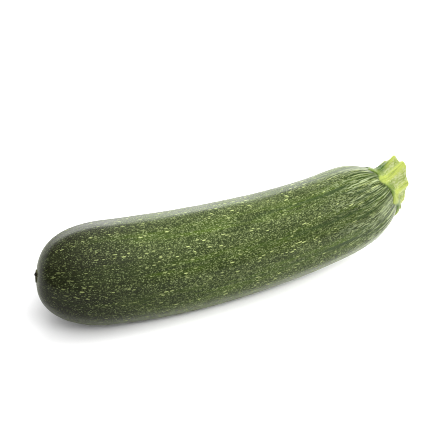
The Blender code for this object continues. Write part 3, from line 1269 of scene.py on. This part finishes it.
@dataclass(frozen=True)
class CorkFinish:
    """Dead corky tissue, dried on the fruit: rough, without shine, and darkest on the torn stub."""

    dark: str = "#1c1810"
    green: str = "#34371f"
    dry: str = "#57563a"
    # Cork cells are far too fine to show, so its grain is drawn as the cracks of its surface, 0.7 mm apart.
    grain_size: float = 0.7143 * MM
    grain_depth: float = 0.2 * MM
    roughness: float = 0.85

    def build(self) -> bpy.types.Material:
        """Makes the material.

        Returns:
            The material, for a piece with the attributes `out` and `stub`.
        """
        material, tree, inputs = new_material("dry_flower_cork")
        add = partial(add_node, tree)
        grain = add(Kind.NOISE, add(Kind.OBJECT_PLACE), 1 / self.grain_size, 4.0)
        edge = add(Kind.FADE, add(Kind.LAYER, attribute_name="out"), 0.6, 0.95, 0.0, 0.3)
        dry = add(Kind.ADD, add(Kind.FADE, grain, 0.4, 0.65, 0.0, 0.7), edge)
        colour = add(Kind.COVER, dry, linear(self.green), linear(self.dry))
        stub = add(Kind.FADE, add(Kind.LAYER, attribute_name="stub"), 0.2, 0.6)
        colour = add(Kind.COVER, stub, colour, linear(self.dark))
        tree.links.new(colour, inputs["Base Color"])
        tree.links.new(add(Kind.BUMP, grain, self.grain_depth, 1.0), inputs["Normal"])
        inputs["Roughness"].default_value = self.roughness
        return material


@dataclass(frozen=True)
class PaperFinish:
    """Matt white studio paper: even to the eye and without shine, and darker to the fruit, most of all on
    the left, where that is painted shade.
    """

    pale: str = "#f8f8f8"
    shade: str = "#f3f3f3"
    bounce_left: str = "#a4a4a2"
    bounce_right: str = "#f2f2f0"
    bounce_edge: float = 0.12
    # Paper fibre is too fine to show, so its grain is drawn 1.1 mm apart.
    grain_size: float = 1.1111 * MM
    roughness: float = 0.9
    shine: float = 0.1

    def build(self) -> bpy.types.Material:
        """Makes the material.

        Returns:
            The material.
        """
        material, tree, inputs = new_material("matt_studio_paper")
        add = partial(add_node, tree)
        where = add(Kind.OBJECT_PLACE)
        grain = add(Kind.NOISE, where, 1 / self.grain_size, 2.0)
        paper = add(Kind.COVER, grain, linear(self.shade), linear(self.pale))
        # To the fruit the paper is painted grey on the left and near white on the right: painted shade on
        # the fruit's left end.
        across = add(Kind.FADE, add(Kind.PARTS, where), -self.bounce_edge, self.bounce_edge)
        bounce = add(Kind.COVER, across, linear(self.bounce_left), linear(self.bounce_right))
        tree.links.new(add(Kind.COVER, add(Kind.SEEN_BY_CAMERA), bounce, paper), inputs["Base Color"])
        inputs["Roughness"].default_value = self.roughness
        inputs["Specular IOR Level"].default_value = self.shine
        return material


# ---------------------------------------------------------------- the studio


@dataclass(frozen=True)
class Softbox:
    """One soft area light, aimed at the middle of the floor."""

    name: str
    place: tuple[float, float, float]
    width: float
    height: float
    power: float
    lights: Lit

    def build(self, target: Vector) -> None:
        """Adds the light, which neither the camera nor a reflection shows.

        Args:
            target: the point that it is aimed at, and that its place is counted from.
        """
        data = bpy.data.lights.new(self.name, "AREA")
        data.shape = "RECTANGLE"
        data.size, data.size_y = self.width, self.height
        data.energy = self.power
        light = bpy.data.objects.new(self.name, data)
        light.location = target + Vector(self.place)
        light.rotation_euler = (-Vector(self.place)).to_track_quat("-Z", "Y").to_euler()
        light.visible_camera = False
        light.visible_glossy = False
        lit = bpy.data.collections.new(self.name + "_lights")
        light.light_linking.receiver_collection = lit
        for shown in bpy.context.scene.objects:
            if shown.type == "MESH" and (shown.name == FLOOR) == (self.lights is Lit.FLOOR):
                lit.objects.link(shown)
        bpy.context.scene.collection.objects.link(light)
        log.info("%s: %.0f W on the %s", self.name, self.power, self.lights.value)


@dataclass(frozen=True)
class Surround:
    """The light all round the set: palest low behind it, and dim to the left and on the camera's side."""

    azimuth: float
    front: float = 0.30
    ceiling: float = 0.72
    left: float = 0.35
    right: float = 2.4
    wall: float = 2.8
    wall_side: float = 0.9
    behind: float = 0.4

    def build(self) -> None:
        """Makes the scene's world."""
        world = bpy.data.worlds.new("studio_surround")
        world.use_nodes = True
        world.node_tree.nodes.clear()
        add = partial(add_node, world.node_tree)
        look = add(Kind.WORLD_DIRECTION)
        across, away = cos(self.azimuth), sin(self.azimuth)
        up = add(Kind.TOWARDS, look, (0.0, 0.0, 1.0))
        back = add(Kind.TOWARDS, look, (-away, across, 0.0))
        right = add(Kind.TOWARDS, look, (across, away, 0.0))
        # The ceiling grows brighter overhead and to the right, save behind the set there.
        ceiling = add(Kind.FADE, up, 0.0, 0.75, self.front, self.ceiling)
        ceiling = add(Kind.MULTIPLY, ceiling, add(Kind.FADE, right, -0.95, 0.95, self.left, self.right))
        behind = add(Kind.MULTIPLY, add(Kind.FADE, back, 0.05, 0.5), add(Kind.FADE, right, 0.05, 0.5))
        ceiling = add(Kind.MULTIPLY, ceiling, add(Kind.FADE, behind, 0.0, 1.0, 1.0, self.behind))
        # The wall behind it shines low down, most of all in its middle.
        wall = add(Kind.MULTIPLY, add(Kind.FADE, back, 0.15, 0.7), add(Kind.FADE, up, 0.12, 0.36, 1.0, 0.0))
        shine = add(Kind.FADE, add(Kind.ABSOLUTE, right), 0.15, 0.65, self.wall, self.wall_side)
        level = add(Kind.FADE, wall, 0.0, 1.0, ceiling, shine)
        add(Kind.WORLD_OUTPUT, add(Kind.GLOW, (1.0, 1.0, 1.0, 1.0), level))
        bpy.context.scene.world = world


@dataclass(frozen=True)
class Studio:
    """A pale floor, soft light from above and behind, and the camera."""

    azimuth: float = radians(-13.12)
    elevation: float = radians(33.0)
    roll: float = radians(-5.64)
    distance: float = 0.6864
    aim: tuple[float, float] = (0.01228, 0.05852)
    # How wide the view is, for each metre away from the camera.
    view_width: float = 0.342756
    sensor: float = 36.0
    floor_size: float = 8.0
    floor_steps: int = 24
    floor_dip: float = 0.02
    dip_from: float = 0.8
    # The width of the filter between neighbouring points of the image, narrow to keep small flecks crisp.
    filter_width: float = 1.1
    boxes: tuple[Softbox, ...] = (
        Softbox("overhead_softbox", (0.20, 0.25, 1.15), 1.3, 1.2, 20.0, Lit.COURGETTE),
        Softbox("floor_key", (0.5, -2.1, 1.95), 1.4, 0.95, 54.0, Lit.FLOOR),
        Softbox("floor_side", (2.0, -0.35, 0.75), 1.0, 0.6, 46.0, Lit.FLOOR),
        Softbox("floor_fill", (0.8, -0.5, 3.0), 4.4, 3.6, 62.0, Lit.FLOOR),
    )

    def build(self, base: Vector) -> None:
        """Makes the floor, the lights and the camera.

        Args:
            base: the middle of the object's underside.
        """
        self.add_floor(base)
        Surround(self.azimuth).build()
        for box in self.boxes:
            box.build(base)
        self.add_camera(base)
        scene = bpy.context.scene
        scene.view_settings.view_transform = "Standard"
        scene.view_settings.look = "None"
        scene.cycles.filter_width = self.filter_width

    def add_floor(self, base: Vector) -> None:
        """Lays the floor, whose edge dips a little.

        Args:
            base: the middle of the object's underside.
        """
        half, steps = self.floor_size / 2, self.floor_steps
        ticks = np.linspace(-half, half, steps + 1)
        x, y = np.meshgrid(ticks, ticks, indexing="ij")
        out = np.maximum(abs(x), abs(y)) / half
        drop = -self.floor_dip * smooth_step((out - self.dip_from) / (1 - self.dip_from))
        points = np.stack([x + base.x, y + base.y, drop + base.z], axis=-1).reshape(-1, 3)
        row, column = np.meshgrid(np.arange(steps), np.arange(steps), indexing="ij")
        corner = row * (steps + 1) + column
        faces = np.stack([corner, corner + steps + 1, corner + steps + 2, corner + 1], axis=-1)
        mesh = bpy.data.meshes.new(FLOOR)
        mesh.from_pydata(points.tolist(), [], faces.reshape(-1, 4).tolist())
        mesh.shade_smooth()
        mesh.materials.append(PaperFinish().build())
        floor = bpy.data.objects.new(FLOOR, mesh)
        bpy.context.scene.collection.objects.link(floor)

    def add_camera(self, base: Vector) -> None:
        """Places the camera.

        Args:
            base: the middle of the object's underside, which its aim is counted from.
        """
        level = cos(self.elevation)
        back = Vector((sin(self.azimuth) * level, -cos(self.azimuth) * level, sin(self.elevation)))
        data = bpy.data.cameras.new("studio_camera")
        data.sensor_fit = "HORIZONTAL"
        data.sensor_width = self.sensor
        data.lens = self.sensor / self.view_width
        camera = bpy.data.objects.new("studio_camera", data)
        turn = (-back).to_track_quat("-Z", "Y").to_matrix() @ Matrix.Rotation(self.roll, 3, "Z")
        target = base + Vector((*self.aim, 0.0))
        camera.matrix_world = Matrix.Translation(target + back * self.distance) @ turn.to_4x4()
        bpy.context.scene.collection.objects.link(camera)
        bpy.context.scene.camera = camera


def main() -> None:
    """Builds the courgette and the studio round it."""
    low, high = CAD_BOX
    base = Vector(((low.x + high.x) / 2, (low.y + high.y) / 2, low.z))
    fruit = Fruit()
    mount(fruit.build(), Node.FRUIT, Slot.SKIN, SkinFinish().build())
    stem = Stem(fruit).build()
    hair = BristleFinish().build()
    bristles = Bristles().build(stem, hair)
    mount(stem, Node.STEM, Slot.STALK, StalkFinish().build())
    mount(bristles, Node.STEM, Slot.STALK, hair)
    mount(Scar(fruit).build(), Node.SCAR, Slot.CORK, CorkFinish().build())
    Studio().build(base)


if __name__ == "__main__":
    main()
